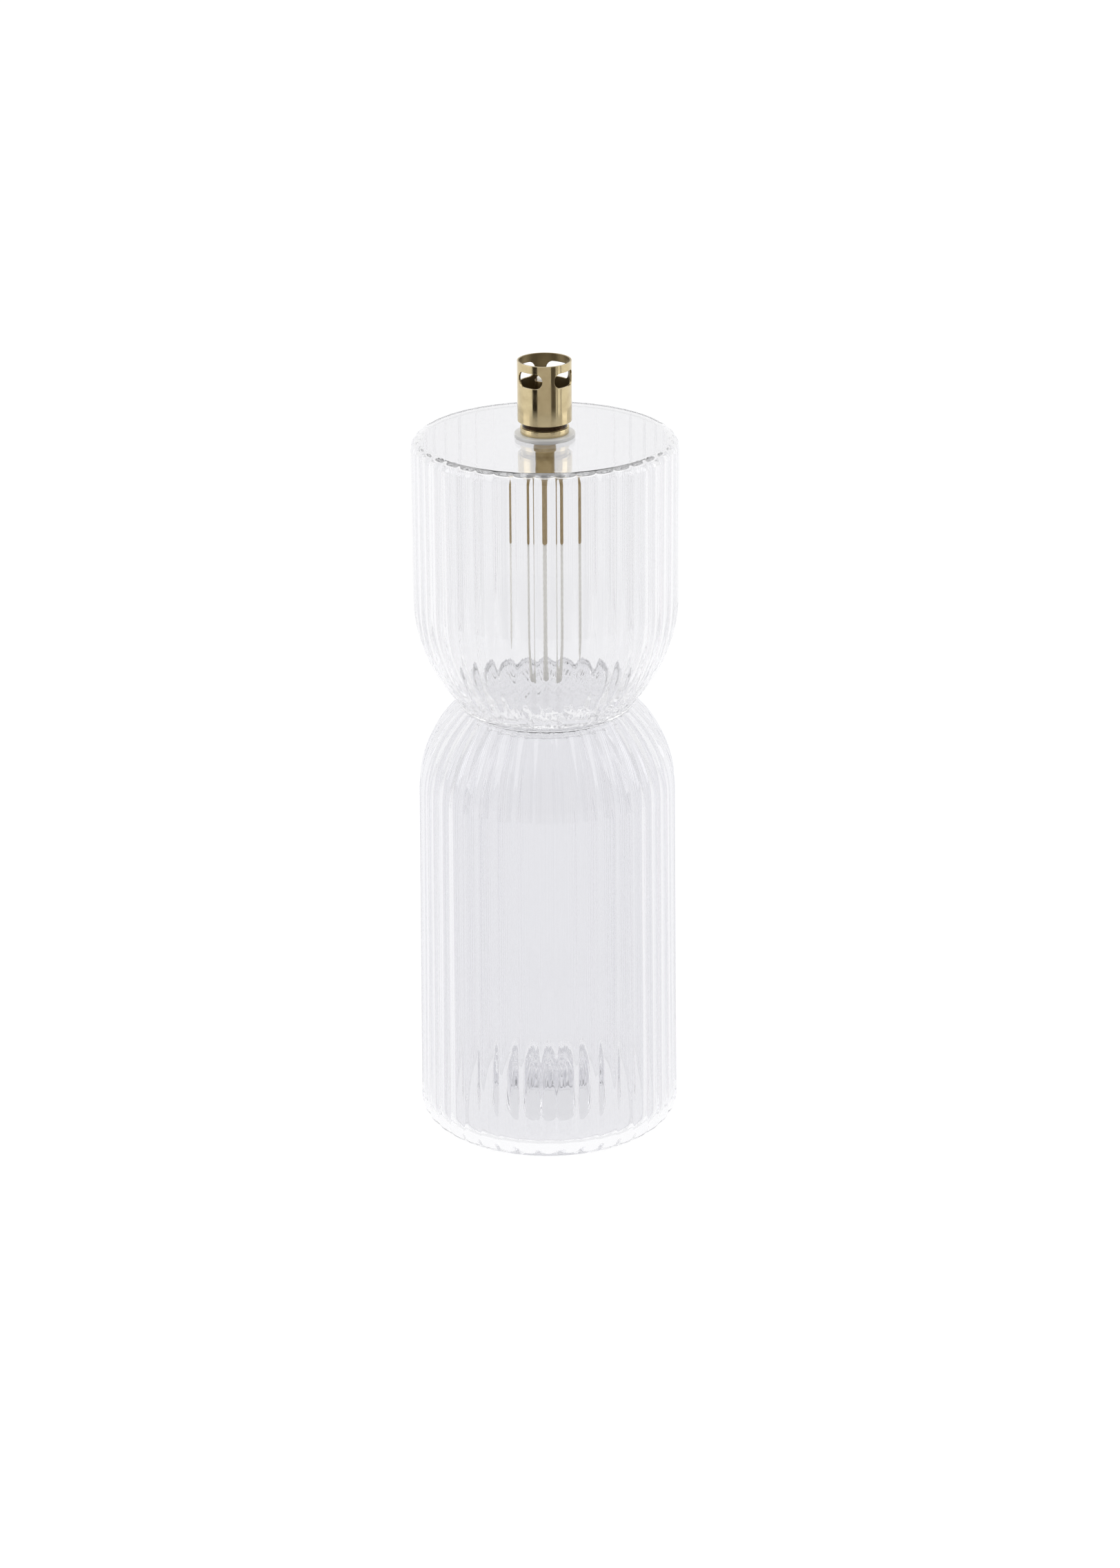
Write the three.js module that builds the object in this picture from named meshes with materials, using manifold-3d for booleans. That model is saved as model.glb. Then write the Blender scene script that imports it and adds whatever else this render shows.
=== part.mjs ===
// Oil lamp: a fluted glass bowl that holds the oil, standing on a hollow fluted glass foot,
// with a small turned-brass burner seated in a hole in the middle of the bowl's flat top.
// Millimetres, +Z up, origin at the centre of the foot's resting face.
import * as THREE from "three";
import { mergeVertices } from "three/addons/utils/BufferGeometryUtils.js";
import Module from "manifold-3d";

const wasm = await Module();
wasm.setup();

// ---------------------------------------------------------------- driving dimensions

const GLASS_HEIGHT = 247;
const WAIST_HEIGHT = 154;
const WAIST_RADIUS = 29.5;
const FLUTE_COUNT = 40;
const FLUTE_DEPTH = 0.9;
const FLUTE_COLUMNS = 2; // facets across one flute
const INNER_COLUMNS = 40; // facets round the smooth inner walls

const SEAM_GAP = 0.3; // between the two glass pieces at the waist, and the wick's two lengths
const RUN_GAP = 0.2; // radial gap where one piece slides on another
const PRESS_GAP = 0.1; // radial gap where one piece is pushed home in another

const BOWL = {
  radius: 45,
  wall: 2.6,
  shoulder: 4, // rounding between the flat top and the side
  cupHeight: 38, // from the waist up to where the side runs straight
  cupSweep: 59, // horizontal half-axis of the cup's curve
  innerSweep: 55,
  baseDrop: 6.5, // how far the thick base reaches below the waist
  topPlate: 2.2,
  ceilingCorner: 2, // rounding between the side and the underside of the top
  holeRadius: 7.5,
  floorRise: 1, // the floor's middle above the waist
  floorDish: 1.5, // the floor's edge above its middle
  floorInset: 5.5, // the floor's edge in from the waist
};

const FOOT = {
  radius: 45,
  taper: 1, // how much the side leans in on its way up to the dome
  wall: 2.8,
  corner: 7,
  domeHeight: 32, // from the waist down to where the side runs straight
  domeSweep: 42,
  innerSweep: 38,
  seamHeight: 3.5, // height of the band that hugs the bowl's base
  floor: 5,
  kickRadius: 19, // the floor's kick-up, measured on the inside
  kickHeight: 21,
  kickWall: 4.5,
  kickShoulder: 7,
  kickLean: 2, // how far its side leans in towards its top
  nubRadius: 3.5,
  nubDrop: 3,
  nubEdge: 1,
  edgeBand: 1, // the resting edge stays round below this height
};

const GASKET = { overlap: 2.7, thickness: 1.5, lipDepth: 3, lipGap: 0.25, columns: 40 };

const BASE = {
  flangeInset: 2, // the flange's edge in from the gasket's
  flangeHeight: 2.1,
  grooveDepth: 0.7,
  grooveHeight: 1.9,
  spigotHeight: 5.5,
  neckWall: 0.5,
  neckDepth: 8, // below the gasket's upper face
  edge: 0.3,
  columns: 40,
};

const TUBE = { radius: 3.2, wall: 0.4, depth: 37, standUp: 8.5, columns: 24 };

const CAP = {
  radius: 9.1,
  wall: 0.7,
  height: 20.6,
  ledge: 0.8, // thickness of the inner ring that rests on the spigot
  ledgeReach: 2,
  edge: 0.25,
  holeCount: 4,
  holePost: 3.1, // straight distance between two holes
  holeHeight: 5.15,
  holeDrop: 2.65, // from the rim to the top of the holes
  holeTurn: -126.5, // degrees from +X to the middle of the first hole
  columns: 60,
};

const WICK = { tip: 1.6, tipEdge: 0.8, floorGap: 2.5, sides: 12, steps: 6 };

// ---------------------------------------------------------------- worked-out places

const SEAM_DROP = SEAM_GAP * Math.SQRT2; // the seam lies on a slope of about 45 degrees
const CUP_TOP = WAIST_HEIGHT + BOWL.cupHeight;
const BOWL_BASE = WAIST_HEIGHT - BOWL.baseDrop;
const BOWL_FLOOR = WAIST_HEIGHT + BOWL.floorRise;
const DOME_FOOT = WAIST_HEIGHT - FOOT.domeHeight;
const SEAT = GLASS_HEIGHT;
const FLANGE = SEAT + GASKET.thickness;
const GROOVE = FLANGE + BASE.flangeHeight;
const SPIGOT = GROOVE + BASE.grooveHeight;
const LEDGE = SPIGOT + BASE.spigotHeight;
const CAP_BOTTOM = SPIGOT + RUN_GAP;
const RIM = CAP_BOTTOM + CAP.height;
const TUBE_TOP = LEDGE + TUBE.standUp;
const TUBE_BOTTOM = SEAT - TUBE.depth;

const GASKET_RADIUS = BOWL.holeRadius + GASKET.overlap;
const TUBE_BORE = TUBE.radius - TUBE.wall;
const BASE_BORE = TUBE.radius + PRESS_GAP;
const NECK_RADIUS = BASE_BORE + BASE.neckWall;
const CAP_BORE = CAP.radius - CAP.wall;
const SPIGOT_RADIUS = CAP_BORE - RUN_GAP;
const WICK_RADIUS = TUBE_BORE - RUN_GAP;

// ---------------------------------------------------------------- outlines

// Points [r, z] of an arc about (r0, z0) with half-axes a and b, angles in degrees from +r towards +z.
function arc(r0, z0, a, b, from, to, steps) {
  return Array.from({ length: steps + 1 }, (_, i) => {
    const t = THREE.MathUtils.degToRad(from + ((to - from) * i) / steps);
    return [r0 + a * Math.cos(t), z0 + b * Math.sin(t)];
  });
}

// A wall's inward curve: an ellipse that leaves a straight side at (r0, z0) and reaches (r1, z1).
class Sweep {
  constructor(r0, z0, r1, z1, halfAxis) {
    this.r0 = r0;
    this.z0 = z0;
    this.a = halfAxis;
    this.end = Math.acos(1 - (r0 - r1) / halfAxis);
    this.b = (z1 - z0) / Math.sin(this.end);
  }

  radiusAt(z) {
    const s = (z - this.z0) / this.b;
    return this.r0 - this.a * (1 - Math.sqrt(1 - s * s));
  }

  // Points between two heights, in equal steps of the ellipse's own angle.
  points(fromZ, toZ, steps) {
    const from = Math.asin((fromZ - this.z0) / this.b);
    const to = Math.asin((toZ - this.z0) / this.b);
    return Array.from({ length: steps + 1 }, (_, i) => {
      const t = from + ((to - from) * i) / steps;
      return [this.r0 - this.a * (1 - Math.cos(t)), this.z0 + this.b * Math.sin(t)];
    });
  }
}

const bowlSweep = new Sweep(BOWL.radius, CUP_TOP, WAIST_RADIUS, WAIST_HEIGHT, BOWL.cupSweep);

// ---------------------------------------------------------------- solids

// A closed body of revolution about +Z. The outline runs up the outside and down the inside.
function lathe(points, columns) {
  const outline = points.map(([r, z]) => new THREE.Vector2(r, z));
  return new THREE.LatheGeometry(outline, columns).rotateX(Math.PI / 2);
}

function ring(points, columns) {
  return lathe([...points, points[0]], columns);
}

// Presses the flutes into a body's side: between the two given heights each vertex moves in
// by a wave round the axis, furthest in the middle of each channel, the first of them on +X.
function flute(geometry, lowest, highest) {
  const position = geometry.getAttribute("position");
  for (let i = 0; i < position.count; i++) {
    const x = position.getX(i);
    const y = position.getY(i);
    const z = position.getZ(i);
    const r = Math.hypot(x, y);
    if (r < 1 || z < lowest || z > highest) continue;
    const wave = (1 + Math.cos(FLUTE_COUNT * Math.atan2(y, x))) / 2;
    const scale = (r - FLUTE_DEPTH * wave) / r;
    position.setXY(i, x * scale, y * scale);
  }
  return geometry;
}

function solid(geometry) {
  const bare = geometry.clone().deleteAttribute("normal").deleteAttribute("uv");
  const merged = mergeVertices(bare, 1e-4);
  const vertProperties = merged.getAttribute("position").array;
  const triVerts = new Uint32Array(merged.index.array);
  return new wasm.Manifold(new wasm.Mesh({ numProp: 3, vertProperties, triVerts }));
}

function geometryOf(body) {
  const mesh = body.getMesh();
  return new THREE.BufferGeometry()
    .setAttribute("position", new THREE.BufferAttribute(new Float32Array(mesh.vertProperties), 3))
    .setIndex(new THREE.BufferAttribute(new Uint32Array(mesh.triVerts), 1));
}

// ---------------------------------------------------------------- glass

function glassBowl() {
  const b = BOWL;
  const outside = [
    [0, BOWL_BASE],
    ...bowlSweep.points(BOWL_BASE, CUP_TOP, 9),
    ...arc(b.radius - b.shoulder, GLASS_HEIGHT - b.shoulder, b.shoulder, b.shoulder, 0, 90, 4),
    [0, GLASS_HEIGHT],
  ];
  const innerRadius = b.radius - b.wall;
  const floorEdge = BOWL_FLOOR + b.floorDish;
  const inner = new Sweep(innerRadius, CUP_TOP, WAIST_RADIUS - b.floorInset, floorEdge, b.innerSweep);
  const ceiling = GLASS_HEIGHT - b.topPlate;
  const corner = b.ceilingCorner;
  const inside = [
    [0, BOWL_FLOOR],
    ...inner.points(floorEdge, CUP_TOP, 6),
    ...arc(innerRadius - corner, ceiling - corner, corner, corner, 0, 90, 3),
    [b.holeRadius, ceiling],
    [b.holeRadius, GLASS_HEIGHT + 1],
    [0, GLASS_HEIGHT + 1],
  ];
  const shell = flute(lathe(outside, FLUTE_COUNT * FLUTE_COLUMNS), BOWL_BASE, GLASS_HEIGHT - 1);
  return geometryOf(solid(shell).subtract(solid(lathe(inside, INNER_COLUMNS))));
}

// The kick-up's outline from the axis out and down to its foot.
function kick(radius, bottom, top, shoulder) {
  const crown = arc(radius - FOOT.kickLean - shoulder, top - shoulder, shoulder, shoulder, 90, 0, 3);
  return [[0, top], ...crown, [radius, bottom]];
}

function glassFoot() {
  const f = FOOT;
  const seamTop = WAIST_HEIGHT - SEAM_GAP;
  const seamBottom = seamTop - f.seamHeight;
  const seam = (z) => [bowlSweep.radiusAt(z + SEAM_DROP), z];
  const topRadius = f.radius - f.taper;
  const dome = new Sweep(topRadius, DOME_FOOT, WAIST_RADIUS, seamTop, f.domeSweep);
  const outside = [
    [0, 0],
    ...arc(f.radius - f.corner, f.corner, f.corner, f.corner, -90, 0, 5),
    ...dome.points(DOME_FOOT, seamTop, 7),
    [0, seamTop],
  ];
  const innerRadius = f.radius - f.wall;
  const innerCorner = f.corner - f.wall;
  const inner = new Sweep(topRadius - f.wall, DOME_FOOT, seam(seamBottom)[0], seamBottom, f.innerSweep);
  const inside = [
    ...kick(f.kickRadius, f.floor, f.kickHeight, f.kickShoulder),
    ...arc(innerRadius - innerCorner, f.floor + innerCorner, innerCorner, innerCorner, -90, 0, 3),
    ...inner.points(DOME_FOOT, seamBottom, 6),
    seam(seamTop),
    seam(seamTop + 1),
    [0, seamTop + 1],
  ];
  const underKick = f.kickHeight - f.kickWall;
  const mouth = f.kickRadius - f.kickWall;
  const [, ...flank] = kick(mouth, 0, underKick, f.kickShoulder - f.kickLean);
  const underside = [
    [0, -1],
    [mouth, -1],
    ...flank.reverse(),
    [f.nubRadius, underKick],
    [f.nubRadius, underKick - f.nubDrop + f.nubEdge],
    [f.nubRadius - f.nubEdge, underKick - f.nubDrop],
    [0, underKick - f.nubDrop],
  ];
  const shell = flute(lathe(outside, FLUTE_COUNT * FLUTE_COLUMNS), f.edgeBand, seamTop);
  const hollow = solid(lathe(inside, INNER_COLUMNS));
  return geometryOf(solid(shell).subtract(hollow).subtract(solid(lathe(underside, INNER_COLUMNS))));
}

// ---------------------------------------------------------------- burner

function sealingGasket() {
  const bore = NECK_RADIUS + PRESS_GAP;
  const lip = BOWL.holeRadius - GASKET.lipGap;
  return ring(
    [
      [bore, SEAT - GASKET.lipDepth],
      [lip, SEAT - GASKET.lipDepth],
      [lip, SEAT],
      [GASKET_RADIUS, SEAT],
      [GASKET_RADIUS, FLANGE],
      [bore, FLANGE],
    ],
    GASKET.columns,
  );
}

function burnerBase() {
  const b = BASE;
  const flange = GASKET_RADIUS - b.flangeInset;
  const groove = SPIGOT_RADIUS - b.grooveDepth;
  return ring(
    [
      [BASE_BORE, FLANGE - b.neckDepth],
      [NECK_RADIUS, FLANGE - b.neckDepth],
      [NECK_RADIUS, FLANGE],
      [flange - b.edge, FLANGE],
      [flange, FLANGE + b.edge],
      [flange, GROOVE - b.edge],
      [flange - b.edge, GROOVE],
      [groove, GROOVE],
      [groove, SPIGOT],
      [SPIGOT_RADIUS, SPIGOT],
      [SPIGOT_RADIUS, LEDGE],
      [BASE_BORE, LEDGE],
    ],
    b.columns,
  );
}

function wickTube() {
  return ring(
    [
      [TUBE_BORE, TUBE_BOTTOM],
      [TUBE.radius, TUBE_BOTTOM],
      [TUBE.radius, TUBE_TOP],
      [TUBE_BORE, TUBE_TOP],
    ],
    TUBE.columns,
  );
}

// A bar with round ends that pokes out through the cap's wall along +X.
function airHoleCutter() {
  const half = CAP.holeHeight / 2;
  const width = 2 * CAP.radius * Math.sin(Math.PI / CAP.holeCount) - CAP.holePost;
  const reach = width / 2 - half;
  const section = new THREE.Shape()
    .absarc(reach, 0, half, -Math.PI / 2, Math.PI / 2)
    .absarc(-reach, 0, half, Math.PI / 2, (3 * Math.PI) / 2)
    .closePath();
  return new THREE.ExtrudeGeometry(section, { depth: CAP.radius, bevelEnabled: false, curveSegments: 7 })
    .rotateX(Math.PI / 2)
    .rotateZ(Math.PI / 2)
    .translate(CAP.radius / 2, 0, 0);
}

function burnerCap() {
  const c = CAP;
  const inner = CAP_BORE - c.ledgeReach;
  const tube = ring(
    [
      [CAP_BORE, CAP_BOTTOM],
      [c.radius - c.edge, CAP_BOTTOM],
      [c.radius, CAP_BOTTOM + c.edge],
      [c.radius, RIM - c.edge],
      [c.radius - c.edge, RIM],
      [CAP_BORE, RIM],
      [CAP_BORE, LEDGE + c.ledge],
      [inner, LEDGE + c.ledge],
      [inner, LEDGE],
      [CAP_BORE, LEDGE],
    ],
    c.columns,
  );
  let body = solid(tube);
  const holeHeight = RIM - c.holeDrop - c.holeHeight / 2;
  for (let i = 0; i < c.holeCount; i++) {
    const turn = THREE.MathUtils.degToRad(c.holeTurn + (360 / c.holeCount) * i);
    body = body.subtract(solid(airHoleCutter().rotateZ(turn).translate(0, 0, holeHeight)));
  }
  return geometryOf(body);
}

// ---------------------------------------------------------------- wick

function wickHead() {
  const tip = TUBE_TOP + WICK.tip;
  return lathe(
    [
      [0, TUBE_BOTTOM],
      [WICK_RADIUS, TUBE_BOTTOM],
      [WICK_RADIUS, tip - WICK.tipEdge],
      [WICK_RADIUS - WICK.tipEdge, tip],
      [0, tip],
    ],
    WICK.sides,
  );
}

// The length of wick that hangs free from the tube's mouth to just above the bowl's floor.
function wickTail() {
  const top = TUBE_BOTTOM - SEAM_GAP;
  const bottom = BOWL_FLOOR + WICK.floorGap;
  const section = new THREE.Shape(
    Array.from({ length: WICK.sides }, (_, i) => {
      const t = (2 * Math.PI * i) / WICK.sides;
      return new THREE.Vector2(WICK_RADIUS * Math.cos(t), WICK_RADIUS * Math.sin(t));
    }),
  );
  const options = { depth: top - bottom, steps: WICK.steps, bevelEnabled: false };
  return new THREE.ExtrudeGeometry(section, options).translate(0, 0, bottom);
}

// ---------------------------------------------------------------- assembly

const FINISH = {
  clearGlass: { color: "#eef0f3", roughness: 0.02, metalness: 0, transparent: true, opacity: 0.35 },
  brass: { color: "#b59a63", roughness: 0.18, metalness: 1 },
  clearSilicone: { color: "#f1efe9", roughness: 0.3, metalness: 0, transparent: true, opacity: 0.6 },
  glassFibre: { color: "#e9e6df", roughness: 0.95, metalness: 0 },
};

function piece(name, geometry, finish) {
  const mesh = new THREE.Mesh(geometry, new THREE.MeshStandardMaterial(FINISH[finish]));
  mesh.name = name;
  return mesh;
}

const glass = new THREE.Group();
glass.add(piece("glass_bowl", glassBowl(), "clearGlass"));
glass.add(piece("glass_foot", glassFoot(), "clearGlass"));

const cap = new THREE.Group();
cap.add(piece("burner_cap", burnerCap(), "brass"));

const wick = new THREE.Group();
wick.add(piece("wick_head", wickHead(), "glassFibre"));
wick.add(piece("wick_tail", wickTail(), "glassFibre"));

const burner = new THREE.Group();
burner.add(piece("sealing_gasket", sealingGasket(), "clearSilicone"));
burner.add(piece("burner_base", burnerBase(), "brass"));
burner.add(piece("wick_tube", wickTube(), "brass"));
burner.add(cap, wick);

const lamp = new THREE.Group();
lamp.add(glass, burner);

export default lamp;
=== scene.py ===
"""Looks of the oil lamp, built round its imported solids.

A fluted clear glass bowl holds the oil and stands on a hollow fluted glass foot. A small brass
burner sits in the bowl's flat top and carries a braided glass-fibre wick. Sizes in the
dataclasses are millimetres; every mesh is in metres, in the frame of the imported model.
"""

import logging
import math
from dataclasses import dataclass, field, replace
from enum import Enum

import bpy
import numpy as np
from mathutils import Matrix, Vector


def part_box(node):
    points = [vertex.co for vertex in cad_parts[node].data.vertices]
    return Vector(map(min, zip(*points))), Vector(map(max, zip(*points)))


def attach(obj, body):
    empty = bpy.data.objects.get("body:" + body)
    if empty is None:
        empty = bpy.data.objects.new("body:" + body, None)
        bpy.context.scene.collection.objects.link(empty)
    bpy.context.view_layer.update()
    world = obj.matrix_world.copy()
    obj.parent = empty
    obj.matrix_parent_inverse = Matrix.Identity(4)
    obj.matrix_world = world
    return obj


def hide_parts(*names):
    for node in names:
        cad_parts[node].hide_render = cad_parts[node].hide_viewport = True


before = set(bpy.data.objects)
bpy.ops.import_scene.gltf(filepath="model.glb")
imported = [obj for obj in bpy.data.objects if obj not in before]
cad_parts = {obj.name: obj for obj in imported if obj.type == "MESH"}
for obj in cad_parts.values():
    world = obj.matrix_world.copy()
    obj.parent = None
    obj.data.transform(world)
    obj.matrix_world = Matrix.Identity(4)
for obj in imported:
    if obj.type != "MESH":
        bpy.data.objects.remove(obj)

MM = 0.001
log = logging.getLogger("oil_lamp")

# A Mix node has its own pair of inputs and its own output for each kind of value.
MIX_NUMBER_A, MIX_NUMBER_B, MIX_NUMBER_OUT = 2, 3, 0
MIX_COLOUR_A, MIX_COLOUR_B, MIX_COLOUR_OUT = 6, 7, 2


# ------------------------------------------------------------------ colour and nodes


def linear(hex_colour: str) -> tuple[float, float, float, float]:
    """Turns an sRGB hex colour into the linear values that a shader socket takes.

    Args:
        hex_colour: a colour such as "#c8a86b".

    Returns:
        Red, green, blue and an alpha of 1.
    """
    digits = hex_colour.lstrip("#")
    srgb = np.array([int(digits[i:i + 2], 16) for i in (0, 2, 4)]) / 255
    values = np.where(srgb <= 0.04045, srgb / 12.92, ((srgb + 0.055) / 1.055) ** 2.4)
    return (*(float(v) for v in values), 1.0)


def add_node(tree: bpy.types.NodeTree, kind: str, inputs: dict | None = None, **settings) -> bpy.types.Node:
    """Adds a node with its settings, constant inputs and links.

    Args:
        tree: the node tree that gets the node.
        kind: the node's type name, such as "ShaderNodeTexNoise".
        inputs: input name or index to a constant, or to the output socket that feeds it.
        **settings: the node's own properties, such as operation="MULTIPLY".

    Returns:
        The new node.
    """
    node = tree.nodes.new(kind)
    for name, value in settings.items():
        setattr(node, name, value)
    for name, value in (inputs or {}).items():
        if isinstance(value, bpy.types.NodeSocket):
            tree.links.new(value, node.inputs[name])
        else:
            node.inputs[name].default_value = value
    return node


def ramp_node(
    tree: bpy.types.NodeTree, source: bpy.types.NodeSocket, stops: dict[float, str]
) -> bpy.types.Node:
    """Adds a colour ramp fed by a socket.

    Args:
        tree: the node tree that gets the ramp.
        source: the value that the ramp reads.
        stops: position from 0 to 1, to its hex colour.

    Returns:
        The ramp node.
    """
    ramp = add_node(tree, "ShaderNodeValToRGB", {"Fac": source})
    elements = ramp.color_ramp.elements
    for element, (position, colour) in zip(elements, stops.items()):
        element.position, element.color = position, linear(colour)
    for position, colour in list(stops.items())[2:]:
        elements.new(position).color = linear(colour)
    return ramp


def new_material(name: str, sockets: dict) -> tuple[bpy.types.Material, bpy.types.NodeTree, bpy.types.Node]:
    """Starts a material whose Principled shader holds the given constants.

    Args:
        name: the material's name.
        sockets: Principled input name to its constant value.

    Returns:
        The material, its node tree and its Principled shader.
    """
    material = bpy.data.materials.new(name)
    material.use_nodes = True
    tree = material.node_tree
    tree.nodes.clear()
    shader = add_node(tree, "ShaderNodeBsdfPrincipled", sockets)
    add_node(tree, "ShaderNodeOutputMaterial", {"Surface": shader.outputs["BSDF"]})
    return material, tree, shader


# ------------------------------------------------------------------ finishes


@dataclass(frozen=True)
class BlownGlass:
    """Clear borosilicate, blown into a fluted mould and fire-polished.

    The flame leaves the skin glossy with a slow ripple, so reflections waver without blur.
    """

    name: str
    tint: str
    ior: float = 1.47
    roughness: float = 0.0
    ripple: float = 9.0
    ripple_depth: float = 0.02

    def build(self) -> bpy.types.Material:
        """Makes the material: constants on the shader, and a slow ripple in its normal."""
        material, tree, shader = new_material(self.name, {
            "Base Color": linear(self.tint),
            "Roughness": self.roughness,
            "IOR": self.ior,
            "Transmission Weight": 1.0,
        })
        place = add_node(tree, "ShaderNodeTexCoord")
        ripple = add_node(tree, "ShaderNodeTexNoise", {
            "Vector": place.outputs["Object"],
            "Scale": 1 / (self.ripple * MM),
            "Detail": 1.0,
        })
        bump = add_node(tree, "ShaderNodeBump", {
            "Height": ripple.outputs["Fac"],
            "Distance": self.ripple_depth * MM,
            "Strength": 1.0,
        })
        tree.links.new(bump.outputs["Normal"], shader.inputs["Normal"])
        return material


@dataclass(frozen=True)
class TurnedBrass:
    """Pale brass, turned on a lathe and polished.

    Polish leaves a mirror with faint rings from the tool and a little handling haze. A band between
    two heights gets a dark brown as painted shade for a narrow groove, which makes it the darkest part.
    """

    name: str
    light: str
    dark: str
    roughness: float = 0.1
    haze: float = 0.1
    haze_size: float = 3.0
    ring_pitch: float = 0.3
    ring_depth: float = 0.0015
    # Painted shade for a groove: the dark brown, and the band of heights that it fills.
    groove_shade_colour: str = "#33261a"
    groove_shade_band: tuple[float, float] | None = None
    groove_shade_fade: float = 0.15
    # The bore's darker tint is partly unpolished metal and partly painted shade inside the tube.
    bore: float | None = None
    bore_tint_and_shade: str = "#8f8060"
    bore_roughness: float = 0.4

    def painted_groove_shade(
        self, tree: bpy.types.NodeTree, place: bpy.types.Node, polished: bpy.types.NodeSocket
    ) -> bpy.types.NodeSocket:
        """Mixes a dark brown in between two heights, as painted shade in a groove.

        Args:
            tree: the material's node tree.
            place: its texture coordinate node.
            polished: the colour of the polished metal.

        Returns:
            The mixed colour's socket.
        """
        low, high = self.groove_shade_band
        axes = add_node(tree, "ShaderNodeSeparateXYZ", {"Vector": place.outputs["Object"]})
        offset = add_node(tree, "ShaderNodeMath", {
            0: axes.outputs["Z"],
            1: (low + high) / 2 * MM,
        }, operation="SUBTRACT")
        distance = add_node(tree, "ShaderNodeMath", {0: offset.outputs["Value"]}, operation="ABSOLUTE")
        share = add_node(tree, "ShaderNodeMapRange", {
            "Value": distance.outputs["Value"],
            "From Min": (high - low) / 2 * MM,
            "From Max": ((high - low) / 2 - self.groove_shade_fade) * MM,
        })
        mixed = add_node(tree, "ShaderNodeMix", {
            "Factor": share.outputs["Result"],
            MIX_COLOUR_A: polished,
            MIX_COLOUR_B: linear(self.groove_shade_colour),
        }, data_type="RGBA")
        return mixed.outputs[MIX_COLOUR_OUT]

    def inside(self, tree: bpy.types.NodeTree, place: bpy.types.Node) -> bpy.types.NodeSocket:
        """Tells a tube's inside, unpolished and in painted shade, from its skin by distance from the axis.

        Args:
            tree: the material's node tree.
            place: its texture coordinate node.

        Returns:
            A socket that is 1 inside the bore's radius and 0 outside it.
        """
        flat = add_node(tree, "ShaderNodeVectorMath", {
            0: place.outputs["Object"],
            1: (1.0, 1.0, 0.0),
        }, operation="MULTIPLY")
        radius = add_node(tree, "ShaderNodeVectorMath", {0: flat.outputs["Vector"]}, operation="LENGTH")
        return add_node(tree, "ShaderNodeMath", {
            0: radius.outputs["Value"],
            1: self.bore * MM,
        }, operation="LESS_THAN").outputs["Value"]

    def build(self) -> bpy.types.Material:
        """Makes the material: patchy colour and haze, and turning rings in its normal."""
        material, tree, shader = new_material(self.name, {"Metallic": 1.0})
        place = add_node(tree, "ShaderNodeTexCoord")
        patches = add_node(tree, "ShaderNodeTexNoise", {
            "Vector": place.outputs["Object"],
            "Scale": 1 / (self.haze_size * MM),
            "Detail": 4.0,
        })
        colour = ramp_node(tree, patches.outputs["Fac"], {0.3: self.light, 0.75: self.dark}).outputs["Color"]
        # Painted shade: a dark brown band where the groove lies.
        if self.groove_shade_band:
            colour = self.painted_groove_shade(tree, place, colour)
        haze = add_node(tree, "ShaderNodeMapRange", {
            "Value": patches.outputs["Fac"],
            "From Min": 0.35,
            "From Max": 0.75,
            "To Min": self.roughness,
            "To Max": self.roughness + self.haze,
        }).outputs["Result"]
        if self.bore:
            share = self.inside(tree, place)
            # Inside the bore: rougher unpolished metal, and a darker tint as painted shade.
            colour = add_node(tree, "ShaderNodeMix", {
                "Factor": share,
                MIX_COLOUR_A: colour,
                MIX_COLOUR_B: linear(self.bore_tint_and_shade),
            }, data_type="RGBA").outputs[MIX_COLOUR_OUT]
            haze = add_node(tree, "ShaderNodeMix", {
                "Factor": share,
                MIX_NUMBER_A: haze,
                MIX_NUMBER_B: self.bore_roughness,
            }).outputs[MIX_NUMBER_OUT]
        # A wave texture at scale 1 has a band every 0.314 units.
        rings = add_node(tree, "ShaderNodeTexWave", {
            "Vector": place.outputs["Object"],
            "Scale": 0.314 / (self.ring_pitch * MM),
            "Distortion": 0.4,
        }, bands_direction="Z")
        bump = add_node(tree, "ShaderNodeBump", {
            "Height": rings.outputs["Fac"],
            "Distance": self.ring_depth * MM,
            "Strength": 1.0,
        })
        for source, socket in (
            (colour, "Base Color"),
            (haze, "Roughness"),
            (bump.outputs["Normal"], "Normal"),
        ):
            tree.links.new(source, shader.inputs[socket])
        return material


@dataclass(frozen=True)
class ClearSilicone:
    """Translucent moulded silicone rubber: a soft gloss, slightly milky, with a fine mould grain."""

    name: str
    tint: str
    grain: float = 0.4
    grain_depth: float = 0.004

    def build(self) -> bpy.types.Material:
        """Makes the material: rough transmission and a fine grain."""
        material, tree, shader = new_material(self.name, {
            "Base Color": linear(self.tint),
            "Roughness": 0.25,
            "IOR": 1.41,
            "Transmission Weight": 0.4,
        })
        place = add_node(tree, "ShaderNodeTexCoord")
        grain = add_node(tree, "ShaderNodeTexNoise", {
            "Vector": place.outputs["Object"],
            "Scale": 1 / (self.grain * MM),
            "Detail": 2.0,
        })
        bump = add_node(tree, "ShaderNodeBump", {
            "Height": grain.outputs["Fac"],
            "Distance": self.grain_depth * MM,
            "Strength": 0.7,
        })
        tree.links.new(bump.outputs["Normal"], shader.inputs["Normal"])
        return material


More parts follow.
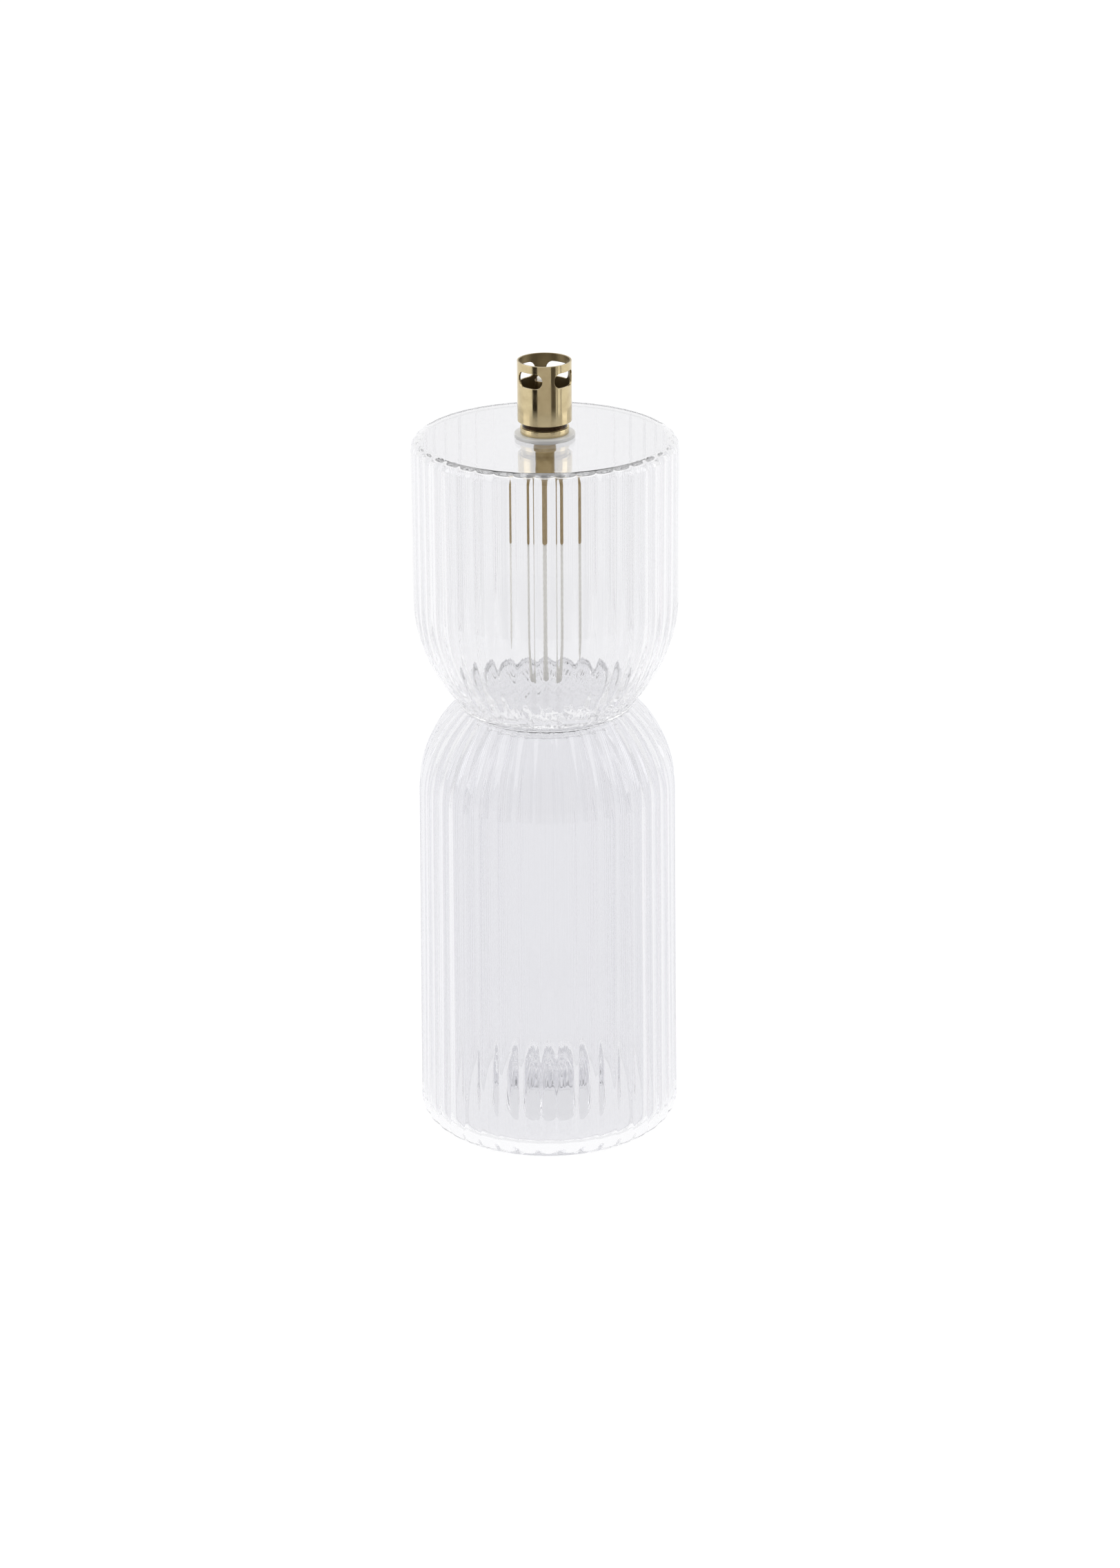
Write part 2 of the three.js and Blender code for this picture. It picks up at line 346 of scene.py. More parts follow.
@dataclass(frozen=True)
class BraidedGlassFibre:
    """White glass-fibre yarn, braided round: matt, with a faint sheen along its fine filaments.

    A weak even glow is painted light for light seeping through the yarn; it lifts the wick
    out of the shade that the glass casts on it.
    """

    name: str
    light: str
    shade: str
    filament: float = 0.12
    filament_depth: float = 0.02
    glow: float = 0.15

    def build(self) -> bpy.types.Material:
        """Makes the material: mottled off-white, matt, with filaments in its normal."""
        material, tree, shader = new_material(self.name, {
            "Roughness": 0.85,
            "Sheen Weight": 0.25,
            "Sheen Roughness": 0.4,
            # Painted light: an even glow on the wick.
            "Emission Color": linear(self.light),
            "Emission Strength": self.glow,
        })
        place = add_node(tree, "ShaderNodeTexCoord")
        fine = add_node(tree, "ShaderNodeTexNoise", {
            "Vector": place.outputs["Object"],
            "Scale": 1 / (self.filament * 4 * MM),
            "Detail": 6.0,
        })
        colour = ramp_node(tree, fine.outputs["Fac"], {0.3: self.shade, 0.7: self.light})
        bump = add_node(tree, "ShaderNodeBump", {
            "Height": fine.outputs["Fac"],
            "Distance": self.filament_depth * MM,
            "Strength": 0.8,
        })
        tree.links.new(colour.outputs["Color"], shader.inputs["Base Color"])
        tree.links.new(bump.outputs["Normal"], shader.inputs["Normal"])
        return material


@dataclass(frozen=True)
class PaintedBoard:
    """Matt painted board, with the faint mottle of a roller; it may be lit from below."""

    name: str
    light: str
    shade: str
    glow: float = 0.0
    mottle: float = 60.0

    def build(self) -> bpy.types.Material:
        """Makes the material: two near tones in slow patches, matt, with an even glow."""
        material, tree, shader = new_material(self.name, {
            "Roughness": 0.9,
            "Specular IOR Level": 0.0,
            "Emission Color": linear("#ffffff"),
            "Emission Strength": self.glow,
        })
        place = add_node(tree, "ShaderNodeTexCoord")
        patches = add_node(tree, "ShaderNodeTexNoise", {
            "Vector": place.outputs["Object"],
            "Scale": 1 / (self.mottle * MM),
            "Detail": 3.0,
        })
        colour = ramp_node(tree, patches.outputs["Fac"], {0.35: self.shade, 0.65: self.light})
        tree.links.new(colour.outputs["Color"], shader.inputs["Base Color"])
        return material


BOWL_GLASS = BlownGlass("borosilicate_bowl", "#f2f2f3")
# The foot's tint, a little darker than the bowl's, is painted shade for the floor's shadow seen through it.
FOOT_GLASS = BlownGlass("borosilicate_foot", "#ededef")
BRASS = TurnedBrass("polished_pale_brass", "#d0c098", "#c0af88")
TUBE_BRASS = TurnedBrass("drawn_brass_tube", "#a4906a", "#8c7850", roughness=0.28)
SILICONE = ClearSilicone("clear_silicone", "#fbfaf6")
FIBRE = BraidedGlassFibre("braided_glass_fibre", "#f5f3ed", "#e6e3da")
LIGHT_TABLE = PaintedBoard("opal_light_table", "#5e5e60", "#5a5a5c", glow=0.96)


# ------------------------------------------------------------------ outlines


def smoothstep(t: np.ndarray) -> np.ndarray:
    """Eases t from 0 to 1: three t squared less two t cubed, held at the ends."""
    t = np.clip(t, 0.0, 1.0)
    return t * t * (3 - 2 * t)


def arc(r0: float, z0: float, a: float, b: float, start: float, end: float, steps: int) -> np.ndarray:
    """Points of an arc in the outline's plane: (r0 + a cos t, z0 + b sin t).

    Args:
        r0: the centre's distance from the axis.
        z0: the centre's height.
        a: half-axis along r.
        b: half-axis along z.
        start: first angle in degrees, from +r towards +z.
        end: last angle in degrees.
        steps: how many steps between them.

    Returns:
        An array of steps + 1 points, (r, z).
    """
    t = np.radians(np.linspace(start, end, steps + 1))
    return np.column_stack([r0 + a * np.cos(t), z0 + b * np.sin(t)])


@dataclass(frozen=True)
class Sweep:
    """A wall's inward curve: an ellipse that leaves a straight side at (r0, z0), reaches (r1, z1)."""

    r0: float
    z0: float
    r1: float
    z1: float
    a: float

    @property
    def b(self) -> float:
        """The half-axis along z that makes the ellipse pass through (r1, z1)."""
        return (self.z1 - self.z0) / math.sin(math.acos(1 - (self.r0 - self.r1) / self.a))

    def points(self, start: float, end: float, steps: int) -> np.ndarray:
        """Points from one height to another: r = r0 - a (1 - cos t), z = z0 + b sin t.

        Args:
            start: first height.
            end: last height.
            steps: how many equal steps of t between them.

        Returns:
            An array of steps + 1 points, (r, z).
        """
        t = np.linspace(math.asin((start - self.z0) / self.b), math.asin((end - self.z0) / self.b), steps + 1)
        return np.column_stack([self.r0 - self.a * (1 - np.cos(t)), self.z0 + self.b * np.sin(t)])

    def radius_at(self, z: float) -> float:
        """The curve's radius at one height."""
        return self.r0 - self.a * (1 - math.sqrt(1 - ((z - self.z0) / self.b) ** 2))


def rounded(corners: list[tuple[float, float]], radius: float, steps: int = 4) -> np.ndarray:
    """Rounds every corner of a closed outline with an arc tangent to both sides.

    Args:
        corners: the outline's corners (r, z), in order.
        radius: the rounding's radius, limited to under half of each side.
        steps: steps on each arc.

    Returns:
        The rounded outline's points, without repeating the first.
    """
    here = np.array(corners, float)
    to_last, to_next = np.roll(here, 1, 0) - here, np.roll(here, -1, 0) - here
    last_length, next_length = np.linalg.norm(to_last, axis=1), np.linalg.norm(to_next, axis=1)
    u, v = to_last / last_length[:, None], to_next / next_length[:, None]
    half_angle = np.arccos(np.clip((u * v).sum(1), -1, 1)) / 2
    reach = np.minimum(radius / np.tan(half_angle), 0.45 * np.minimum(last_length, next_length))
    t = np.linspace(0, 1, steps + 1)[None, :, None]
    first, last = (here + u * reach[:, None])[:, None], (here + v * reach[:, None])[:, None]
    middle = here[:, None]
    # A quadratic curve from side to side, pulled to the corner.
    return ((1 - t) ** 2 * first + 2 * t * (1 - t) * middle + t ** 2 * last).reshape(-1, 2)


def resampled(points: np.ndarray, step: float) -> np.ndarray:
    """Adds points along an outline's long stretches, and keeps its own points.

    Args:
        points: outline points; the first two columns are (r, z), any others go along with them.
        step: the longest stretch allowed.

    Returns:
        The outline with extra points.
    """
    lengths = np.linalg.norm(np.diff(points[:, :2], axis=0), axis=1)
    counts = np.maximum(1, np.ceil(lengths / step)).astype(int)
    pieces = [np.linspace(a, b, n, endpoint=False) for a, b, n in zip(points, points[1:], counts)]
    return np.vstack([*pieces, points[-1:]])


# ------------------------------------------------------------------ surfaces


class Ends(Enum):
    """How a tube of rings is closed along its length."""

    POLES = "each end meets at a point"
    LOOP = "the last ring joins the first"


def surface(name: str, rings: np.ndarray, ends: Ends) -> bpy.types.Object:
    """Makes a mesh from rings of points that each go once round.

    Faces point along (round the ring) x (ring to ring). With POLES, the first and last rings
    each count as one point, their mean.

    Args:
        name: the object's name.
        rings: points in metres, shaped (rings, columns, 3).
        ends: how the run of rings is closed.

    Returns:
        The object, smooth shaded, at the origin.
    """
    count, columns = rings.shape[:2]
    body = rings[1:-1] if ends is Ends.POLES else rings
    rows = len(body)
    points = body.reshape(-1, 3)
    row = np.arange(rows if ends is Ends.LOOP else rows - 1)[:, None]
    column = np.arange(columns)[None, :]
    after, above = (column + 1) % columns, (row + 1) % rows
    quads = np.stack([
        row * columns + column,
        row * columns + after,
        above * columns + after,
        above * columns + column,
    ], -1).reshape(-1, 4)
    corners, sizes = [quads.ravel()], [np.full(len(quads), 4)]
    if ends is Ends.POLES:
        points = np.vstack([points, rings[0].mean(0), rings[-1].mean(0)])
        first, last = len(points) - 2, len(points) - 1
        around = np.arange(columns)
        turned = (around + 1) % columns
        top = (rows - 1) * columns
        corners += [
            np.column_stack([np.full(columns, first), turned, around]).ravel(),
            np.column_stack([top + around, top + turned, np.full(columns, last)]).ravel(),
        ]
        sizes += [np.full(columns, 3)] * 2
    corners, sizes = np.concatenate(corners), np.concatenate(sizes)
    mesh = bpy.data.meshes.new(name)
    mesh.vertices.add(len(points))
    mesh.vertices.foreach_set("co", points.astype(np.float32).ravel())
    mesh.loops.add(len(corners))
    mesh.loops.foreach_set("vertex_index", corners.astype(np.int32))
    mesh.polygons.add(len(sizes))
    mesh.polygons.foreach_set("loop_start", (np.cumsum(sizes) - sizes).astype(np.int32))
    mesh.polygons.foreach_set("use_smooth", np.ones(len(sizes), bool))
    mesh.update(calc_edges=True)
    mesh.validate()
    thing = bpy.data.objects.new(name, mesh)
    bpy.context.scene.collection.objects.link(thing)
    return thing


def revolved(radii: np.ndarray, heights: np.ndarray, turn: np.ndarray) -> np.ndarray:
    """Rings of points (r cos turn, r sin turn, z).

    Args:
        radii: radius in mm of each point, shaped (rings, columns) or (rings, 1).
        heights: height in mm, shaped the same way.
        turn: the columns' angles in radians.

    Returns:
        Points in metres, shaped (rings, columns, 3).
    """
    r = np.broadcast_to(radii, (len(radii), len(turn)))
    z = np.broadcast_to(heights, r.shape)
    return np.stack([r * np.cos(turn), r * np.sin(turn), z], -1) * MM


def turned_ring(
    name: str, corners: list[tuple[float, float]], edge: float, columns: int = 144
) -> bpy.types.Object:
    """A turned ring: a closed outline with softened corners, carried once round the axis.

    Args:
        name: the object's name.
        corners: the outline's corners (r, z) in mm, up the outside and down the inside.
        edge: radius of the softened corners, in mm.
        columns: points round the axis.

    Returns:
        The object.
    """
    outline = rounded(corners, edge)
    turn = np.linspace(0, 2 * np.pi, columns, endpoint=False)
    return surface(name, revolved(outline[:, :1], outline[:, 1:], turn), Ends.LOOP)


def dress(
    thing: bpy.types.Object, material: bpy.types.Material, slot: str, body: str, *nodes: str
) -> bpy.types.Object:
    """Gives a piece its material and body, and hides the CAD nodes it stands for.

    Args:
        thing: the piece.
        material: its material.
        slot: the record's material slot; not used.
        body: the body it rides on.
        *nodes: CAD nodes that it replaces.

    Returns:
        The piece.
    """
    thing.data.materials.clear()
    thing.data.materials.append(material)
    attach(thing, body)
    if nodes:
        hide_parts(*nodes)
    return thing


def span(node: str) -> tuple[float, float, float]:
    """A CAD node's radius, lowest and highest point, in mm."""
    low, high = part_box(node)
    return high.x / MM, low.z / MM, high.z / MM


# ------------------------------------------------------------------ studio


@dataclass(frozen=True)
class Card:
    """A curved card standing round the lamp, which shows only in mirror-like reflections."""

    name: str
    bearing: float
    width: float
    tone: str
    radius: float = 520.0
    height: float = 420.0
    clearance: float = 1.0
    columns: int = 13

    def build(self) -> bpy.types.Object:
        """Stands the card at its bearing, in degrees to the right of the camera's side.

        Returns:
            The card.
        """
        turn = np.radians(self.bearing - 90 + self.width * np.linspace(-0.5, 0.5, self.columns))
        foot = np.column_stack([
            self.radius * np.cos(turn),
            self.radius * np.sin(turn),
            np.full(self.columns, self.clearance),
        ])
        points = np.vstack([foot, foot + [0, 0, self.height]]) * MM
        low = np.arange(self.columns - 1)
        high = low + self.columns
        mesh = bpy.data.meshes.new(self.name)
        mesh.from_pydata(points, [], np.column_stack([low + 1, low, high, high + 1]))
        card = bpy.data.objects.new(self.name, mesh)
        bpy.context.scene.collection.objects.link(card)
        mesh.materials.append(PaintedBoard(self.name, self.tone, self.tone).build())
        card.visible_camera = card.visible_diffuse = card.visible_shadow = False
        card.visible_transmission = False
        return card


@dataclass
class Studio:
    """Camera, pale floor and soft light."""

    pitch: float = 21.3
    distance: float = 1500.0
    lens: float = 100.2
    roll: float = -0.33
    aim: tuple[float, float, float] = (4.4, 0.0, 122.5)
    floor_size: float = 12000.0
    bounces: int = 32
    cards: tuple[Card, ...] = (
        Card("dark_card_left", -41, 22, "#2a2622"),
        Card("grey_card_middle", -2, 56, "#c4c0bc"),
        Card("dark_card_right", 38, 22, "#55504a"),
        Card("dark_strip_near", 55, 3, "#2a2622"),
        Card("dark_strip_far", 73, 3, "#2a2622"),
    )

    def camera(self) -> bpy.types.Object:
        """Stands a long lens in front of the lamp, looking down at it.

        Returns:
            The camera, made the scene's own.
        """
        data = bpy.data.cameras.new("camera")
        data.lens = self.lens
        data.clip_end = 100
        eye = bpy.data.objects.new("camera", data)
        bpy.context.scene.collection.objects.link(eye)
        pitch = math.radians(self.pitch)
        back = Vector((0, -math.cos(pitch), math.sin(pitch))) * self.distance
        eye.location = (Vector(self.aim) + back) * MM
        tilt = Matrix.Rotation(math.pi / 2 - pitch, 3, "X")
        eye.rotation_euler = (tilt @ Matrix.Rotation(math.radians(self.roll), 3, "Z")).to_euler()
        bpy.context.scene.camera = eye
        return eye

    def floor(self) -> bpy.types.Object:
        """Lays a matt white light table under the lamp.

        Returns:
            The floor.
        """
        half = self.floor_size / 2 * MM
        mesh = bpy.data.meshes.new("floor")
        corners = [(-half, -half, 0), (half, -half, 0), (half, half, 0), (-half, half, 0)]
        mesh.from_pydata(corners, [], [(0, 1, 2, 3)])
        board = bpy.data.objects.new("floor", mesh)
        bpy.context.scene.collection.objects.link(board)
        mesh.materials.append(LIGHT_TABLE.build())
        return board

    def softbox(
        self, name: str, place: tuple[float, float, float], size: tuple[float, float], watts: float
    ) -> None:
        """Hangs a rectangular soft light that faces the lamp.

        Args:
            name: the light's name.
            place: its centre in mm.
            size: width and height in mm.
            watts: its power.
        """
        data = bpy.data.lights.new(name, "AREA")
        data.shape, data.energy = "RECTANGLE", watts
        data.size, data.size_y = size[0] * MM, size[1] * MM
        lamp = bpy.data.objects.new(name, data)
        bpy.context.scene.collection.objects.link(lamp)
        lamp.location = Vector(place) * MM
        towards = Vector(self.aim) * MM - lamp.location
        lamp.rotation_euler = towards.to_track_quat("-Z", "Y").to_euler()

    def sky(self) -> None:
        """Surrounds the lamp with soft light: a white tent, a little dimmer on the camera's side."""
        world = bpy.data.worlds.new("studio")
        bpy.context.scene.world = world
        world.use_nodes = True
        tree = world.node_tree
        tree.nodes.clear()
        place = add_node(tree, "ShaderNodeTexCoord")
        axes = add_node(tree, "ShaderNodeSeparateXYZ", {"Vector": place.outputs["Generated"]})
        depth = add_node(tree, "ShaderNodeMapRange", {
            "Value": axes.outputs["Y"],
            "From Min": -0.9,
            "From Max": 0.55,
        }, interpolation_type="SMOOTHSTEP")
        shade = ramp_node(tree, depth.outputs["Result"], {0.0: "#cfcfd3", 1.0: "#ffffff"})
        glow = add_node(tree, "ShaderNodeBackground", {"Color": shade.outputs["Color"], "Strength": 1.0})
        add_node(tree, "ShaderNodeOutputWorld", {"Surface": glow.outputs["Background"]})

    def build(self) -> None:
        """Sets up everything round the lamp, except its camera."""
        self.floor()
        for card in self.cards:
            card.build()
        self.softbox("left_softbox", (-1300, -150, 900), (900, 1300), 5)
        self.softbox("right_softbox", (1300, 100, 800), (700, 1300), 4)
        self.softbox("top_softbox", (0, 300, 1700), (1500, 1500), 4)
        self.sky()
        bpy.context.scene.view_settings.view_transform = "Standard"
        paths = bpy.context.scene.cycles
        paths.max_bounces = paths.transmission_bounces = paths.glossy_bounces = self.bounces


# ------------------------------------------------------------------ glass


@dataclass(frozen=True)
class Flutes:
    """The flutes pressed into both glass pieces, and the slow unevenness of blown glass."""

    count: int = 40
    depth: float = 0.9
    columns: int = 12
    roundness: float = 0.18
    ridge: float = 0.35
    lump: float = 0.3
    lump_length: float = 7.0
    uneven: float = 0.14
    sway: float = 0.05

    @property
    def across(self) -> np.ndarray:
        """Places of one flute's columns, from -1 at a ridge, closer together near a ridge."""
        return np.sin(np.linspace(-np.pi / 2, np.pi / 2, self.columns, endpoint=False))

    @property
    def turn(self) -> np.ndarray:
        """Angles of the columns round the axis, with a channel on each multiple of the pitch."""
        middle = np.arange(self.count)[:, None]
        return (2 * np.pi / self.count * (middle + self.across / 2)).ravel()

    def hollow(self) -> np.ndarray:
        """Each column's share of the flute's depth: 1 in the middle of a channel, 0 on a ridge.

        With s the distance from the channel's middle, from 0 to 1, the share is
        1 - roundness * s^2 - (1 - roundness) * s^4, so the channel steepens towards its ridges.
        A ridge is rounded by taking 1 - s as sqrt((1 - s)^2 + ridge^2) - ridge, scaled to end at 1.
        """
        to_ridge = 1 - np.abs(self.across)
        full = math.hypot(1, self.ridge) - self.ridge
        soft = (np.sqrt(to_ridge ** 2 + self.ridge ** 2) - self.ridge) / full
        square = (1 - soft) ** 2
        channel = 1 - self.roundness * square - (1 - self.roundness) * square ** 2
        return np.tile(channel, self.count)[None, :]

    def lumps(self, points: np.ndarray, share: np.ndarray, seed: float) -> np.ndarray:
        """Raises and lowers thick glass that set unevenly, by the product of two crossed waves.

        z = z + lump * share * (sin(u) sin(v) + 0.6 sin(1.7 u - 0.9 v)), with u and v the places
        along x and y as angles, one turn to each lump length.

        Args:
            points: points in metres, shaped (rings, columns, 3).
            share: each ring's share of the lumps, from 0 to 1, shaped (rings, 1).
            seed: shifts the waves.

        Returns:
            The points, moved up or down.
        """
        u, v = (2 * np.pi / self.lump_length / MM * points[..., i] + seed * (1 + i) for i in (0, 1))
        rise = np.sin(u) * np.sin(v) + 0.6 * np.sin(1.7 * u - 0.9 * v)
        moved = points.copy()
        moved[..., 2] += self.lump * MM * share * rise
        return moved

    def press(self, outline: np.ndarray, seed: float) -> np.ndarray:
        """Carries an outline round the axis, in by the flutes' depth where its third column says.

        r = outline - depth * strength * hollow * (1 + uneven * waves) - sway * (slow waves)

        Args:
            outline: points (r, z, strength), with strength from 0, smooth, to 1, fluted.
            seed: shifts the slow waves, so that no two pieces match.

        Returns:
            Points in metres, shaped (points, columns, 3).
        """
        r, z, strength = outline[:, :1], outline[:, 1:2], outline[:, 2:3]
        turn = self.turn[None, :]
        uneven = 1 + self.uneven * (np.sin(11 * turn + seed) + np.sin(17 * turn + z / 60 + 2 * seed)) / 2
        wave = self.depth * strength * self.hollow() * uneven
        slow = np.sin(3 * turn + z / 31 + seed) * np.sin(z / 23 + 2 * seed)
        slow = slow + 0.6 * np.sin(7 * turn - z / 17 + 3 * seed)
        fade = smoothstep(r / 20) * np.abs(np.sign(strength))
        return revolved(r - wave - self.sway * (1 + slow) / 2 * fade, z, self.turn)


@dataclass
class Glass:
    """The bowl and the foot that it stands on, fused along the waist."""

    flutes: Flutes = field(default_factory=Flutes)
    waist_radius: float = 29.5
    waist_height: float = 154.0
    cup_height: float = 38.0
    cup_sweep: float = 59.0
    bowl_inner_sweep: float = 55.0
    bowl_wall: float = 2.6
    shoulder: float = 4.0
    top_plate: float = 2.2
    corner_inside: float = 2.0
    hole_radius: float = 7.5
    hole_edge: float = 0.8
    floor_rise: float = 1.0
    floor_dish: float = 1.5
    floor_inset: float = 5.5
    base_edge: float = 3.0
    waist_share: float = 0.35
    foot_wall: float = 2.8
    taper: float = 1.0
    corner: float = 7.0
    dome_height: float = 32.0
    dome_sweep: float = 42.0
    dome_inner_sweep: float = 38.0
    seam_height: float = 3.5
    seam_gap: float = 0.3
    foot_floor: float = 5.0
    kick_radius: float = 19.0
    kick_height: float = 21.0
    kick_wall: float = 4.5
    kick_shoulder: float = 7.0
    kick_lean: float = 2.0
    nub_radius: float = 3.5
    nub_drop: float = 3.0
    flute_start: float = 1.2
    waist_fade_start: float = 168.0
    waist_fade_height: float = 26.0
    smooth_base: float = 15.0
    smooth_rest: float = 22.0
    rest_fade: tuple[float, float] = (0.3, 4.0)
    rest_fade_width: float = 5.0
    lump_height: float = 16.0
    lump_fade: float = 4.0
    bowl_seeds: tuple[float, float] = (0.7, 1.3)
    foot_seeds: tuple[float, float] = (2.1, 0.4)
    row_step: float = 3.4

    def __post_init__(self) -> None:
        """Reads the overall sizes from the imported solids."""
        reach, self.bowl_base, self.top = span("glass_bowl")
        foot_reach, _, self.seam_top = span("glass_foot")
        # A channel lies on each axis, so the nearest ridges stand half a flute to either side.
        half_flute = math.pi / self.flutes.count
        self.bowl_radius = reach / math.cos(half_flute)
        self.foot_radius = foot_reach / math.cos(half_flute)
        self.cup_top = self.waist_height + self.cup_height
        self.cup = Sweep(self.bowl_radius, self.cup_top, self.waist_radius, self.waist_height, self.cup_sweep)

    def bowl_outline(self) -> np.ndarray:
        """The bowl from the middle of its base, up the outside, over the top and down inside.

        Returns:
            Points (r, z, strength) in mm.
        """
        s, e, c, hole = self.shoulder, self.base_edge, self.corner_inside, self.hole_radius
        inner_radius, inner_foot = self.bowl_radius - self.bowl_wall, self.waist_radius - self.floor_inset
        ceiling = self.top - self.top_plate
        floor_middle = self.waist_height + self.floor_rise
        floor_edge = floor_middle + self.floor_dish
        inner = Sweep(inner_radius, self.cup_top, inner_foot, floor_edge, self.bowl_inner_sweep)
        base_radius = self.cup.radius_at(self.bowl_base + e)
        outside = np.vstack([
            [(0, self.bowl_base)],
            arc(base_radius - e, self.bowl_base + e, e, e, -90, -25, 6),
            self.cup.points(self.bowl_base + e, self.cup_top, 34),
            arc(self.bowl_radius - s, self.top - s, s, s, 0, 90, 12),
        ])
        # The hole's rim is the second and third corner of this outline, steps + 1 points each.
        far, steps = 20, 5
        plate = [(far, self.top), (hole, self.top), (hole, ceiling), (far, ceiling)]
        rim = rounded(plate, self.hole_edge, steps)[steps + 1:3 * (steps + 1)]
        inside = np.vstack([
            rim,
            arc(inner_radius - c, ceiling - c, c, c, 90, 0, 8),
            inner.points(self.cup_top, floor_edge, 26),
            arc(0, floor_edge, inner_foot, -self.floor_dish, 8, 90, 14),
        ])
        shoulder_fade = smoothstep((self.top - outside[:, 1]) / self.flute_start)
        up = smoothstep((outside[:, 1] - self.waist_fade_start) / self.waist_fade_height)
        waist_fade = self.waist_share + (1 - self.waist_share) * up
        strength = shoulder_fade * waist_fade * smoothstep(outside[:, 0] / self.smooth_base)
        return resampled(np.vstack([
            np.column_stack([outside, strength]),
            np.column_stack([inside, np.zeros(len(inside))]),
        ]), self.row_step)

    def kick(self, radius: float, bottom: float, top: float, shoulder: float, foot: float) -> np.ndarray:
        """The kick-up's outline from its crown at the axis down to its rounded foot.

        Args:
            radius: the kick-up's radius at its foot.
            bottom: height of its foot.
            top: height of its crown.
            shoulder: radius of the rounding at its crown.
            foot: radius of the rounding at its foot.

        Returns:
            Points (r, z) in mm.
        """
        crown = arc(radius - self.kick_lean - shoulder, top - shoulder, shoulder, shoulder, 90, 8, 9)
        return np.vstack([[(0, top)], crown, arc(radius + foot, bottom + foot, foot, foot, 188, 270, 6)])

    def foot_outline(self) -> np.ndarray:
        """The foot from under its kick-up, round the resting face, up the outside and down inside.

        Returns:
            Points (r, z, strength) in mm.
        """
        top_radius, inner_radius = self.foot_radius - self.taper, self.foot_radius - self.foot_wall
        dome_foot = self.waist_height - self.dome_height
        seam_bottom = self.seam_top - self.seam_height
        drop = self.seam_gap * math.sqrt(2)
        dome = Sweep(top_radius, dome_foot, self.waist_radius, self.seam_top, self.dome_sweep)
        band = [(self.cup.radius_at(z + drop), z) for z in (self.seam_top, seam_bottom)]
        inner = Sweep(top_radius - self.foot_wall, dome_foot, band[1][0], seam_bottom, self.dome_inner_sweep)
        crown, mouth = self.kick_height - self.kick_wall, self.kick_radius - self.kick_wall
        nub = arc(0, crown - 0.2, self.nub_radius, -self.nub_drop, 90, 5, 8)
        underside = self.kick(mouth, 0, crown, self.kick_shoulder - self.kick_lean, 2)[1:]
        c, inner_corner = self.corner, self.corner - self.foot_wall
        outside = np.vstack([
            nub,
            underside,
            arc(self.foot_radius - c, c, c, c, -90, 0, 14),
            dome.points(dome_foot, self.seam_top, 26),
        ])
        inside = np.vstack([
            band,
            inner.points(seam_bottom, dome_foot, 22)[1:],
            arc(inner_radius - inner_corner, self.foot_floor + inner_corner,
                inner_corner, inner_corner, 0, -90, 8),
            self.kick(self.kick_radius, self.foot_floor, self.kick_height, self.kick_shoulder, 3)[::-1],
        ])
        start, height = self.rest_fade
        strength = smoothstep((outside[:, 1] - start) / height)
        strength = strength * smoothstep((outside[:, 0] - self.smooth_rest) / self.rest_fade_width)
        return resampled(np.vstack([
            np.column_stack([outside, strength]),
            np.column_stack([inside, np.zeros(len(inside))]),
        ]), self.row_step)

    def build(self) -> None:
        """Makes both glass pieces and dresses them."""
        outline = self.bowl_outline()
        press_seed, lump_seed = self.bowl_seeds
        # Only the inside's lowest part, where the glass is thick, set in lumps.
        floor_share = smoothstep((self.waist_height + self.lump_height - outline[:, 1:2]) / self.lump_height)
        floor_share = floor_share * (np.arange(len(outline))[:, None] > len(outline) / 2)
        skin = self.flutes.lumps(self.flutes.press(outline, press_seed), floor_share, lump_seed)
        bowl = surface("bowl", skin, Ends.POLES)
        dress(bowl, BOWL_GLASS.build(), "bowl_glass", "glass", "glass_bowl")
        outline = self.foot_outline()
        press_seed, lump_seed = self.foot_seeds
        # Only the kick-up is lumpy, well above the resting face.
        near_axis = smoothstep((self.kick_radius + 1 - outline[:, :1]) / self.lump_fade)
        kick_share = near_axis * smoothstep((outline[:, 1:2] - self.foot_floor - 1) / self.lump_fade)
        kick_share = kick_share * (outline[:, 1:2] < self.kick_height + 1)
        skin = self.flutes.lumps(self.flutes.press(outline, press_seed), kick_share, lump_seed)
        foot = surface("foot", skin, Ends.POLES)
        dress(foot, FOOT_GLASS.build(), "foot_glass", "glass", "glass_foot")
        for piece in (bowl, foot):
            log.info("%s: %d faces", piece.name, len(piece.data.polygons))


# ------------------------------------------------------------------ burner


